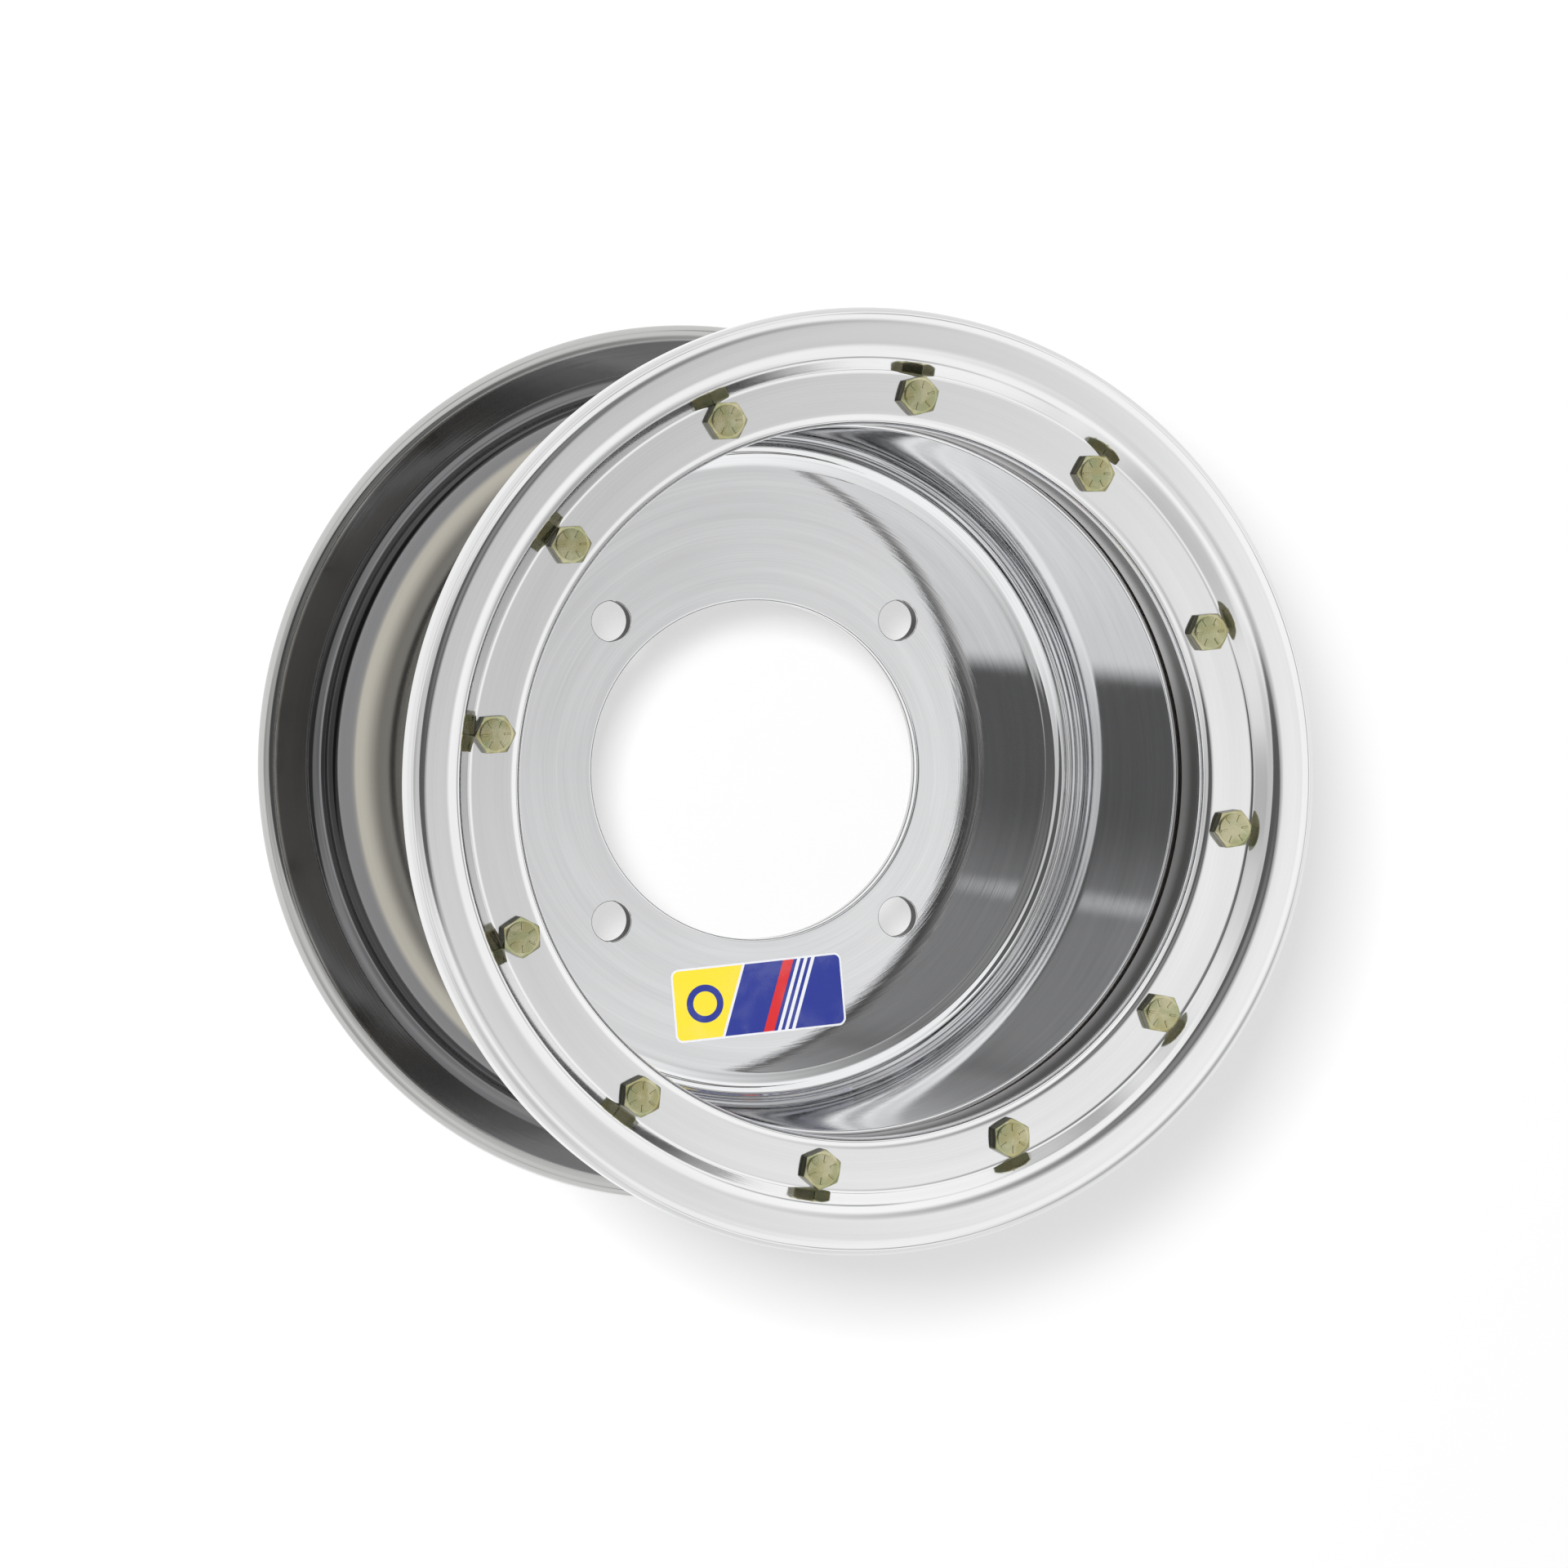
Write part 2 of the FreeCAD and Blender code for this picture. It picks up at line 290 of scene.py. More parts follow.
def makeLatheMarks():  # rings left by the tool: fine lines and broad soft bands
    tree, given, out = newGroup(
        "latheMarks",
        [("Lines per Metre", 5000.0), ("Bands per Metre", 300.0), ("Stray", 1.5)],
        ["Lines", "Bands"],
    )
    radius, height, east, north = roundTheAxle(tree)
    east = calc(tree, "MULTIPLY", east, given["Stray"])
    north = calc(tree, "MULTIPLY", north, given["Stray"])
    for label, pitch in (("Lines", given["Lines per Metre"]), ("Bands", given["Bands per Metre"])):
        place = addNode(tree, "ShaderNodeCombineXYZ")
        feed(tree, place.inputs[0], calc(tree, "MULTIPLY", radius, pitch))
        feed(tree, place.inputs[1], east)
        feed(tree, place.inputs[2], north)
        noise = addNode(tree, "ShaderNodeTexNoise", noise_dimensions="4D")
        feed(tree, noise.inputs["Vector"], place.outputs[0])
        feed(tree, noise.inputs["W"], calc(tree, "MULTIPLY", height, pitch))
        noise.inputs["Scale"].default_value = 1.0
        noise.inputs["Detail"].default_value = 2.0
        feed(tree, out[label], noise.outputs["Fac"])
    return tree


handMarks = {
    "smudge": (0.42, 0.68),            # noise levels where a smudge begins and is full
    "smudgeDetail": 5.0,
    "smudgeWarp": 0.6,
    "scratchLays": [(0.5, 9.0), (1.9, 13.0), (2.7, 11.0)],  # turn and stretch of each set of scratches
    "scratchTilt": (0.3, 0.2),
    "scratchLevel": 0.63,              # a scratch follows this level of the noise
    "scratchWide": 0.006,
}


def makeHandlingMarks(spec):  # smudges from hands and fine stray scratches
    tree, given, out = newGroup(
        "handlingMarks", [("Smudge Scale", 22.0), ("Scratch Scale", 60.0)], ["Smudge", "Scratch"]
    )
    place = addNode(tree, "ShaderNodeTexCoord").outputs["Object"]
    smudge = noiseAt(tree, place, given["Smudge Scale"], spec["smudgeDetail"], spec["smudgeWarp"])
    feed(tree, out["Smudge"], spread(tree, smudge, *spec["smudge"], smooth=True))
    found = 0.0
    swing, tilt = spec["scratchTilt"]
    for turn, stretch in spec["scratchLays"]:
        lay = addNode(tree, "ShaderNodeMapping")
        feed(tree, lay.inputs["Vector"], place)
        lay.inputs["Rotation"].default_value = (swing * turn, tilt, turn)
        lay.inputs["Scale"].default_value = (1.0, stretch, 1.0)
        grain = noiseAt(tree, lay.outputs[0], given["Scratch Scale"], 1.0)
        ridge = calc(tree, "ABSOLUTE", calc(tree, "SUBTRACT", grain, spec["scratchLevel"]))
        found = calc(tree, "MAXIMUM", found, spread(tree, ridge, spec["scratchWide"], 0.0))
    feed(tree, out["Scratch"], found)
    return tree


latheMarks = makeLatheMarks()
handlingMarks = makeHandlingMarks(handMarks)


def placeGroup(tree, group, **values):
    node = addNode(tree, "ShaderNodeGroup", node_tree=group)
    for label, value in values.items():
        feed(tree, node.inputs[label.replace("_", " ")], value)
    return node.outputs


def newFinish(name):
    material = bpy.data.materials.new(name)
    material.use_nodes = True
    tree = material.node_tree
    return material, tree, tree.nodes["Principled BSDF"]


def addBump(tree, shader, height, strength, distance):
    bump = addNode(tree, "ShaderNodeBump")
    bump.inputs["Strength"].default_value = strength
    bump.inputs["Distance"].default_value = distance
    feed(tree, bump.inputs["Height"], height)
    feed(tree, shader.inputs["Normal"], bump.outputs["Normal"])


def turnedMetal(spec):  # bright metal with marks that run round the axle
    material, tree, shader = newFinish(spec["name"])
    marks = placeGroup(tree, latheMarks, Lines_per_Metre=spec["lines"], Bands_per_Metre=spec["bands"],
                       Stray=spec["stray"])
    hands = placeGroup(tree, handlingMarks, Smudge_Scale=spec["smudgeScale"],
                       Scratch_Scale=spec["scratchScale"])
    tone = 1.0
    for label, depth in (("Bands", spec["bandTone"]), ("Lines", spec["lineTone"])):
        swing = calc(tree, "SUBTRACT", marks[label], 0.5)  # the noise lies about a half
        tone = calc(tree, "MULTIPLY_ADD", swing, depth, tone)
    grey = greyOf(tree, tone)
    colour = blendColour(tree, 1.0, spec["colour"], grey, "MULTIPLY")
    rough = calc(tree, "MULTIPLY_ADD", hands["Smudge"], spec["smudgeRough"], spec["rough"])
    rough = calc(tree, "MULTIPLY_ADD", marks["Bands"], spec["bandRough"], rough)
    rough = calc(tree, "MULTIPLY_ADD", hands["Scratch"], spec["scratchRough"], rough)
    radius, height = roundTheAxle(tree)[:2]
    for zone in spec["zones"]:  # stretches with their own finish or painted shade: low, high and softness in metres
        inside = 1.0
        for place, (low, high, soft) in ((radius, zone["radius"]), (height, zone["height"])):
            over = spread(tree, place, low - soft, low + soft, smooth=True)
            under = spread(tree, place, high + soft, high - soft, smooth=True)
            inside = calc(tree, "MULTIPLY", inside, calc(tree, "MULTIPLY", over, under))
        toned = blendColour(tree, 1.0, zone["colour"], grey, "MULTIPLY")
        colour = blendColour(tree, inside, colour, toned)
        step = calc(tree, "SUBTRACT", zone["rough"], rough)
        rough = calc(tree, "MULTIPLY_ADD", step, inside, rough)
    feed(tree, shader.inputs["Base Color"], colour)
    feed(tree, shader.inputs["Roughness"], rough)
    shader.inputs["Metallic"].default_value = 1.0
    shader.inputs["Anisotropic"].default_value = spec["grain"]
    tangent = addNode(tree, "ShaderNodeTangent", direction_type="RADIAL", axis="Z")
    feed(tree, shader.inputs["Tangent"], tangent.outputs[0])
    relief = calc(tree, "MULTIPLY_ADD", marks["Bands"], spec["bandBump"], marks["Lines"])
    addBump(tree, shader, relief, spec["bump"], spec["bumpDepth"])
    return material


# sections of the turned rings
def roundedSection(corners, arcStep=7.0, guard=0.3, arcRun=9.0):  # (radius, height, rounding) to points
    leastSteps = 3
    samePlace = 0.01
    count = len(corners)
    spots = [Vector(corner[:2]) for corner in corners]
    bends = []
    for i, (_, _, rounding) in enumerate(corners):
        back = (spots[i - 1] - spots[i]).normalized()
        ahead = (spots[(i + 1) % count] - spots[i]).normalized()
        half = back.angle(ahead) / 2
        bends.append((back, ahead, half, rounding / math.tan(half)))
    points = []
    for i, (_, _, rounding) in enumerate(corners):
        back, ahead, half, run = bends[i]
        here = spots[i]
        if rounding <= 0:
            points.append(here)
            continue
        before = (spots[i - 1] - here).length - run - bends[i - 1][3]
        after = (spots[(i + 1) % count] - here).length - run - bends[(i + 1) % count][3]
        start = here + back * run
        middle = here + (back + ahead).normalized() * (rounding / math.sin(half))
        first = start - middle
        sweep = math.pi - 2 * half
        side = 1 if back.x * ahead.y - back.y * ahead.x < 0 else -1
        byTurn = math.ceil(math.degrees(sweep) / arcStep)
        byLength = math.ceil(rounding * sweep / arcRun)
        steps = max(leastSteps, byTurn, byLength)
        if before > 3 * guard:  # a point just off the arc keeps the straight part's shading straight
            points.append(start + back * guard)
        for k in range(steps + 1):
            angle = side * sweep * k / steps
            points.append(middle + Vector((first.x * math.cos(angle) - first.y * math.sin(angle),
                                           first.x * math.sin(angle) + first.y * math.cos(angle))))
        if after > 3 * guard:
            points.append(here + ahead * (run + guard))
    kept = [p for i, p in enumerate(points) if (p - points[i - 1]).length > samePlace]
    return [(p.x, p.y) for p in kept]


def sheetSection(path, thickness, edgeRound):  # a spun sheet: its path along one face, sheet on the right
    runs = []
    for (r0, z0, _), (r1, z1, _) in zip(path, path[1:]):
        runs.append(Vector((r1 - r0, z1 - z0)).normalized())
    farSide = []
    for i, (r, z, bend) in enumerate(path):
        before = runs[max(i - 1, 0)]
        after = runs[min(i, len(runs) - 1)]
        share = thickness / (1 + before.dot(after))
        turnsLeft = before.x * after.y - before.y * after.x > 0
        farBend = bend + thickness if turnsLeft else bend - thickness
        farSide.append((r + (before.y + after.y) * share, z - (before.x + after.x) * share,
                        farBend if bend > 0 else 0))
    corners = []
    for side in (path, farSide[::-1]):
        last = len(side) - 1
        corners += [(r, z, edgeRound if i in (0, last) else bend) for i, (r, z, bend) in enumerate(side)]
    return corners


def sectionMesh(name, points, turnRadius, extra=None):  # closed line in the sweep's plane, with weld values
    flat = [(r * mm - turnRadius, -z * mm) for r, z in points]
    area = sum(a[0] * b[1] - b[0] * a[1] for a, b in zip(flat, flat[1:] + flat[:1]))
    if area < 0:  # the sweep needs the line to run this way for faces to point out
        flat.reverse()
        extra = [values[::-1] for values in extra] if extra else None
    count = len(flat)
    mesh = bpy.data.meshes.new(name)
    mesh.from_pydata([(x, y, 0.0) for x, y in flat], [(i, (i + 1) % count) for i in range(count)], [])
    for label, values in zip(("crown", "across"), extra or []):
        mesh.attributes.new(label, "FLOAT", "POINT").data.foreach_set("value", values)
    return mesh


# geometry node trees
def newTree(name, inputs):
    tree = bpy.data.node_groups.new(name, "GeometryNodeTree")
    tree.interface.new_socket("Geometry", in_out="INPUT", socket_type="NodeSocketGeometry")
    for label, kind in inputs:
        tree.interface.new_socket(label, in_out="INPUT", socket_type="NodeSocket" + kind)
    tree.interface.new_socket("Geometry", in_out="OUTPUT", socket_type="NodeSocketGeometry")
    return tree, addNode(tree, "NodeGroupInput").outputs, addNode(tree, "NodeGroupOutput").inputs[0]


def endTree(tree, shape, finish, out):  # every tree ends in plain mesh with its finish
    plain = addNode(tree, "GeometryNodeRealizeInstances")
    feed(tree, plain.inputs["Geometry"], shape)
    dressed = addNode(tree, "GeometryNodeSetMaterial")
    feed(tree, dressed.inputs["Geometry"], plain.outputs[0])
    feed(tree, dressed.inputs["Material"], finish)
    feed(tree, out, dressed.outputs[0])


def sweepRound(tree, section, radius, segments):
    line = addNode(tree, "GeometryNodeMeshToCurve")
    feed(tree, line.inputs["Mesh"], section)
    circle = addNode(tree, "GeometryNodeCurvePrimitiveCircle")
    feed(tree, circle.inputs["Radius"], radius)
    feed(tree, circle.inputs["Resolution"], segments)
    ring = addNode(tree, "GeometryNodeCurveToMesh")
    feed(tree, ring.inputs["Curve"], circle.outputs["Curve"])
    feed(tree, ring.inputs["Profile Curve"], line.outputs["Curve"])
    return ring.outputs["Mesh"]


def copiesRound(tree, source, count, radius, firstAngle, height, turn=0.0):
    index = addNode(tree, "GeometryNodeInputIndex").outputs[0]
    angle = calc(tree, "DIVIDE", calc(tree, "MULTIPLY", index, math.tau), count)
    angle = calc(tree, "ADD", angle, firstAngle)
    place = addNode(tree, "ShaderNodeCombineXYZ")
    feed(tree, place.inputs[0], calc(tree, "MULTIPLY", calc(tree, "COSINE", angle), radius))
    feed(tree, place.inputs[1], calc(tree, "MULTIPLY", calc(tree, "SINE", angle), radius))
    feed(tree, place.inputs[2], height)
    points = addNode(tree, "GeometryNodePoints")
    feed(tree, points.inputs["Count"], count)
    feed(tree, points.inputs["Position"], place.outputs[0])
    facing = addNode(tree, "ShaderNodeCombineXYZ")
    feed(tree, facing.inputs[2], calc(tree, "ADD", angle, turn))
    model = addNode(tree, "GeometryNodeObjectInfo")
    feed(tree, model.inputs["Object"], source)
    copies = addNode(tree, "GeometryNodeInstanceOnPoints")
    feed(tree, copies.inputs["Points"], points.outputs[0])
    feed(tree, copies.inputs["Instance"], model.outputs["Geometry"])
    feed(tree, copies.inputs["Rotation"], facing.outputs[0])
    plain = addNode(tree, "GeometryNodeRealizeInstances")
    feed(tree, plain.inputs["Geometry"], copies.outputs[0])
    return plain.outputs[0]


def smoothButEdges(tree, shape, limit):
    angle = addNode(tree, "GeometryNodeInputMeshEdgeAngle").outputs["Unsigned Angle"]
    soft = addNode(tree, "GeometryNodeSetShadeSmooth", domain="FACE")
    feed(tree, soft.inputs["Geometry"], shape)
    sharp = addNode(tree, "GeometryNodeSetShadeSmooth", domain="EDGE")
    feed(tree, sharp.inputs["Geometry"], soft.outputs[0])
    feed(tree, sharp.inputs["Selection"], calc(tree, "GREATER_THAN", angle, limit))
    sharp.inputs["Shade Smooth"].default_value = False
    return sharp.outputs[0]


def makeTurnedTree():  # a section turned round the axle, then drilled
    tree, given, out = newTree("turnedRing", [
        ("Turn Radius", "Float"), ("Segments", "Int"), ("Drill", "Object"), ("Hole Count", "Int"),
        ("Hole Circle", "Float"), ("First Angle", "Float"), ("Side Drill", "Object"),
        ("Edge Angle", "Float"), ("Finish", "Material"),
    ])
    ring = sweepRound(tree, given["Geometry"], given["Turn Radius"], given["Segments"])
    drills = copiesRound(tree, given["Drill"], given["Hole Count"], given["Hole Circle"],
                         given["First Angle"], 0.0)
    side = addNode(tree, "GeometryNodeObjectInfo")
    feed(tree, side.inputs["Object"], given["Side Drill"])
    cut = addNode(tree, "GeometryNodeMeshBoolean", operation="DIFFERENCE", solver="EXACT")
    feed(tree, cut.inputs["Mesh 1"], ring)
    feed(tree, cut.inputs["Mesh 2"], drills)
    tree.links.new(side.outputs["Geometry"], cut.inputs["Mesh 2"])
    shape = smoothButEdges(tree, cut.outputs["Mesh"], given["Edge Angle"])
    endTree(tree, shape, given["Finish"], out)
    return tree


def runTree(name, mesh, tree, values):  # the tree's result as a plain mesh at the origin
    source = bpy.data.objects.new(name + "Source", mesh)
    maker = source.modifiers.new("maker", "NODES")
    maker.node_group = tree
    sockets = {s.name: s.identifier for s in tree.interface.items_tree if s.in_out == "INPUT"}
    for label, value in values.items():
        maker[sockets[label]] = value
    scene.collection.objects.link(source)
    graph = bpy.context.evaluated_depsgraph_get()
    made = bpy.data.meshes.new_from_object(source.evaluated_get(graph))
    source.modifiers.remove(maker)
    bpy.data.objects.remove(source)
    made.name = name
    for label in ("crown", "across"):
        if label in made.attributes:
            made.attributes.remove(made.attributes[label])
    finish = values["Finish"]
    made.materials.clear()
    made.materials.append(finish)  # one slot, also where the cut left an empty one
    made.polygons.foreach_set("material_index", [0] * len(made.polygons))
    piece = bpy.data.objects.new(name, made)
    scene.collection.objects.link(piece)
    return piece


def standFor(piece, node):
    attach(piece, "root")
    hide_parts(node)
    print("made", piece.name, len(piece.data.polygons), "faces")


def meshObject(name, form):
    mesh = bpy.data.meshes.new(name)
    form.to_mesh(mesh)
    form.free()
    made = bpy.data.objects.new(name, mesh)
    scene.collection.objects.link(made)
    return made


def joinRings(form, rings):  # walls between rings of points, each ring below the one before
    for above, below in zip(rings, rings[1:]):
        for k in range(len(above)):
            n = (k + 1) % len(above)
            form.faces.new((above[k], below[k], below[n], above[n]))


def latheSolid(name, line, segments, sideways=None):  # closed solid for a tool, line from axle to axle
    form = bmesh.new()
    rings = []
    for r, z in line:
        if r == 0:
            rings.append([form.verts.new((0, 0, z * mm))])
            continue
        ring = []
        for k in range(segments):
            angle = math.tau * k / segments
            ring.append(form.verts.new((r * mm * math.cos(angle), r * mm * math.sin(angle), z * mm)))
        rings.append(ring)
    for low, high in zip(rings, rings[1:]):
        for k in range(segments):
            n = (k + 1) % segments
            corner = [low[k % len(low)], low[n % len(low)], high[n % len(high)], high[k % len(high)]]
            form.faces.new(list(dict.fromkeys(corner)))
    bmesh.ops.recalc_face_normals(form, faces=form.faces)
    if sideways:
        form.transform(sideways)
    return meshObject(name, form)


turnedTree = makeTurnedTree()
edgeAngle = math.radians(28)           # turned pieces stay crisp at edges sharper than this
anyHeight = (-1.0, 1.0, 0.01)          # for zones that go by radius alone
outside = 0.2                          # past every radius on the wheel


def turnPiece(name, spec, section, holes, drill, sideDrill=None):  # turned, drilled and given its finish
    values = {
        "Turn Radius": spec["turnRadius"], "Segments": spec["segments"], "Drill": drill,
        "Hole Count": holes["count"], "Hole Circle": holes["circle"], "First Angle": holes["first"],
        "Edge Angle": edgeAngle, "Finish": turnedMetal(spec["finish"]),
    }
    if sideDrill:
        values["Side Drill"] = sideDrill
    return runTree(name, sectionMesh(name + "Section", section, spec["turnRadius"]), turnedTree, values)


# stud holes through both halves
studHoles = {
    "count": 4,
    "circle": 68.5 * mm,
    "first": math.radians(45.0),
    "drill": [(0, -6), (8.6, -6), (8.6, -1.6), (7.0, 0.0), (6.6, 0.4), (6.6, 6.65), (7.95, 8.0), (0, 8.0)],
    "drillSegments": 64,
    "reach": (0.0605, 0.0765),         # the walls lie between these radii from the axle
    "soft": 0.0003,
    # painted shade: the walls of the stud holes are made near black, where shade falls in them
    "colour": rgb(0.015, 0.015, 0.015),
    "rough": 0.40,
}


def shadedHoleWalls(spec, low, high):  # zone of painted shade on the walls of the stud holes between two heights
    return {"radius": (*spec["reach"], spec["soft"]), "height": (low, high, spec["soft"]),
            "colour": spec["colour"], "rough": spec["rough"]}


studDrill = latheSolid("studDrill", studHoles["drill"], studHoles["drillSegments"])

# front half: hub disc and barrel, polished inside
frontHalf = {
    "sheet": 3.4,
    "path": [(55.0, 6.8, 0), (109.2, 6.8, 11.0), (109.2, 103.4, 0)],
    "edgeRound": 0.8,
    "turnRadius": 0.1,
    "segments": 512,
    "rings": 5.5,                      # shallow rings that the spinning roller left in the corner
    "ringHeight": 0.10,
    "arcRun": 0.45,
    "valveDrill": [(0, 100), (5.75, 100), (5.75, 120), (0, 120)],
    "valveSegments": 64,
    "valveHeight": 62.0 * mm,
    "finish": {
        "name": "polishedBowl", "colour": rgb(0.86, 0.865, 0.875), "rough": 0.02,
        "lines": 1800.0, "bands": 260.0, "stray": 1.2, "smudgeScale": 16.0, "scratchScale": 70.0,
        "smudgeRough": 0.02, "bandRough": 0.03, "scratchRough": 0.05, "bandTone": 0.24, "lineTone": 0.14,
        "grain": 0.3, "bandBump": 1.0, "bump": 0.02, "bumpDepth": 0.0002,
        "zones": [                     # dull outside of the barrel, also painted darker as shade under the rings; walls of the stud holes painted dark as shade
            {"radius": (0.1112, outside, 0.0006), "height": anyHeight,
             "colour": rgb(0.29, 0.28, 0.255), "rough": 0.30},
            shadedHoleWalls(studHoles, -1.0, 0.0060),
        ],
    },
}


def addRings(points, spec):
    r, z, bend = spec["path"][1]       # the corner between disc and barrel
    middle = Vector((r - bend, z + bend))
    onBend = 0.01
    ringed = []
    for point in points:
        away = Vector(point) - middle
        bearing = math.atan2(away.x, -away.y)  # none at the disc, a quarter turn at the barrel
        if abs(away.length - bend) < onBend and 0 < bearing < math.pi / 2:
            wave = math.sin(4 * bearing * spec["rings"]) * math.sin(2 * bearing)
            away *= 1 + wave * spec["ringHeight"] / bend
        ringed.append(tuple(middle + away))
    return ringed


def makeFrontHalf(spec):
    corners = sheetSection(spec["path"], spec["sheet"], spec["edgeRound"])
    section = addRings(roundedSection(corners, arcRun=spec["arcRun"]), spec)
    aim = Matrix.Translation((0, 0, spec["valveHeight"])) @ Matrix.Rotation(-math.pi / 2, 4, "Y")
    valveDrill = latheSolid("valveDrill", spec["valveDrill"], spec["valveSegments"], aim)
    piece = turnPiece("front_half_bowl", spec, section, studHoles, studDrill, valveDrill)
    bpy.data.objects.remove(valveDrill)
    standFor(piece, "front_half")


makeFrontHalf(frontHalf)

# rear half: second hub disc, tyre well, bead seat, flange and rolled rim
rearHalf = {
    "sheet": 3.4,
    "path": [(55.0, 3.4, 0), (112.6, 3.4, 14.4), (112.6, -35.2, 40.0), (125.5, -51.8, 18.0),
             (126.8, -71.0, 5.5), (147.0, -71.0, 4.6), (147.0, -80.2, 4.6), (141.3, -80.2, 0)],
    "edgeRound": 0.8,
    "turnRadius": 0.12,
    "segments": 448,
    "arcStep": 8.0,
    "finish": {
        "name": "spunShell", "colour": rgb(0.64, 0.64, 0.635), "rough": 0.03,
        "lines": 1600.0, "bands": 220.0, "stray": 1.6, "smudgeScale": 14.0, "scratchScale": 70.0,
        "smudgeRough": 0.03, "bandRough": 0.03, "scratchRough": 0.05, "bandTone": 0.16, "lineTone": 0.08,
        "grain": 0.2, "bandBump": 1.0, "bump": 0.03, "bumpDepth": 0.0002,
        "zones": [                     # walls of the stud holes and seat and flange, both painted dark as shade; toe; well, painted darker towards the rings as shade; rolled edge
            shadedHoleWalls(studHoles, 0.0006, 0.0050),
            # painted shade: seat and flange darkened for the dark reflections they carry
            {"radius": (0.1200, 0.1418, 0.0003), "height": (-0.0745, -0.03, 0.0005),
             "colour": rgb(0.205, 0.205, 0.21), "rough": 0.10},
            {"radius": (0.1112, outside, 0.0004), "height": (-0.0465, 0.012, 0.0012),
             "colour": rgb(0.43, 0.41, 0.36), "rough": 0.12},
            # painted shade: the well turns darker towards the rings, where their shade falls
            {"radius": (0.1112, outside, 0.0004), "height": (-0.0400, 0.012, 0.0045),
             "colour": rgb(0.14, 0.133, 0.118), "rough": 0.20},
            {"radius": (0.1418, outside, 0.0006), "height": anyHeight,
             "colour": rgb(0.53, 0.53, 0.52), "rough": 0.10},
        ],
    },
}


def makeRearHalf(spec):
    corners = sheetSection(spec["path"], spec["sheet"], spec["edgeRound"])
    section = roundedSection(corners, spec["arcStep"])
    piece = turnPiece("rear_half_shell", spec, section, studHoles, studDrill)
    standFor(piece, "rear_half")


makeRearHalf(rearHalf)
bpy.data.objects.remove(studDrill)

# bolt holes that the two rings and the bolts share
boltHoles = {"count": 12, "circle": 119.5 * mm, "first": math.radians(22.5)}

# fixed bead ring with its tapped holes
beadRing = {
    "corners": [(110.3, 122.6, 1.2), (110.3, 106.0, 1.2), (112.7, 106.0, 0), (112.7, 100.8, 0),
                (137.0, 100.8, 1.2), (137.0, 106.8, 1.2), (126.6, 106.8, 3.0), (126.6, 122.6, 1.2)],
    "drill": [(0, 98), (5.9, 98), (3.225, 101.5), (3.225, 122.0), (5.9, 125), (0, 125)],
    "drillSegments": 48,
    "turnRadius": 0.125,
    "segments": 448,
    "finish": {
        "name": "turnedRing", "colour": rgb(0.60, 0.585, 0.565), "rough": 0.12,
        "lines": 1600.0, "bands": 300.0, "stray": 1.0, "smudgeScale": 18.0, "scratchScale": 70.0,
        "smudgeRough": 0.05, "bandRough": 0.05, "scratchRough": 0.08, "bandTone": 0.14, "lineTone": 0.16,
        "grain": 0.3, "bandBump": 0.6, "bump": 0.06, "bumpDepth": 0.0002,
        "zones": [                     # bore, duller, and painted darker towards the clamp ring as shade
            {"radius": (0.0, 0.1119, 0.0003), "height": anyHeight,
             "colour": rgb(0.62, 0.605, 0.60), "rough": 0.30},
            # painted shade: the bore darker next to the clamp ring
            {"radius": (0.0, 0.1119, 0.0003), "height": (0.1125, 1.0, 0.0045),
             "colour": rgb(0.15, 0.146, 0.142), "rough": 0.36},
        ],
    },
}

# clamp ring over it: flat land, sloping step and turned-back lip
clampRing = {
    "corners": [(109.5, 122.6, 1.2), (109.5, 128.5, 3.4), (126.0, 128.5, 1.8), (131.4, 133.8, 6.5),
                (145.4, 133.8, 4.8), (145.4, 121.8, 1.4), (139.5, 121.8, 1.4), (139.5, 127.9, 1.2),
                (133.81, 127.9, 1.2), (128.41, 122.6, 1.2)],
    "drill": [(0, 120), (5.0, 120), (3.5, 123.0), (3.5, 128.1), (4.3, 129), (4.3, 131), (0, 131)],
    "drillSegments": 48,
    "turnRadius": 0.125,
    "segments": 512,
    "finish": {
        "name": "polishedRing", "colour": rgb(0.87, 0.87, 0.875), "rough": 0.07,
        "lines": 1800.0, "bands": 120.0, "stray": 0.8, "smudgeScale": 18.0, "scratchScale": 70.0,
        "smudgeRough": 0.03, "bandRough": 0.03, "scratchRough": 0.06, "bandTone": 0.30, "lineTone": 0.05,
        "grain": 0.3, "bandBump": 1.0, "bump": 0.02, "bumpDepth": 0.0002,
        "zones": [                     # the lip's edge
            {"radius": (0.1442, outside, 0.0005), "height": anyHeight,
             "colour": rgb(0.70, 0.70, 0.705), "rough": 0.08},
        ],
    },
}


def makeDrilledRing(name, spec, node):
    drill = latheSolid(name + "Drill", spec["drill"], spec["drillSegments"])
    piece = turnPiece(name, spec, roundedSection(spec["corners"]), boltHoles, drill)
    bpy.data.objects.remove(drill)
    standFor(piece, node)


makeDrilledRing("bead_ring_fixed", beadRing, "bead_ring")
makeDrilledRing("clamp_ring_outer", clampRing, "clamp_ring")

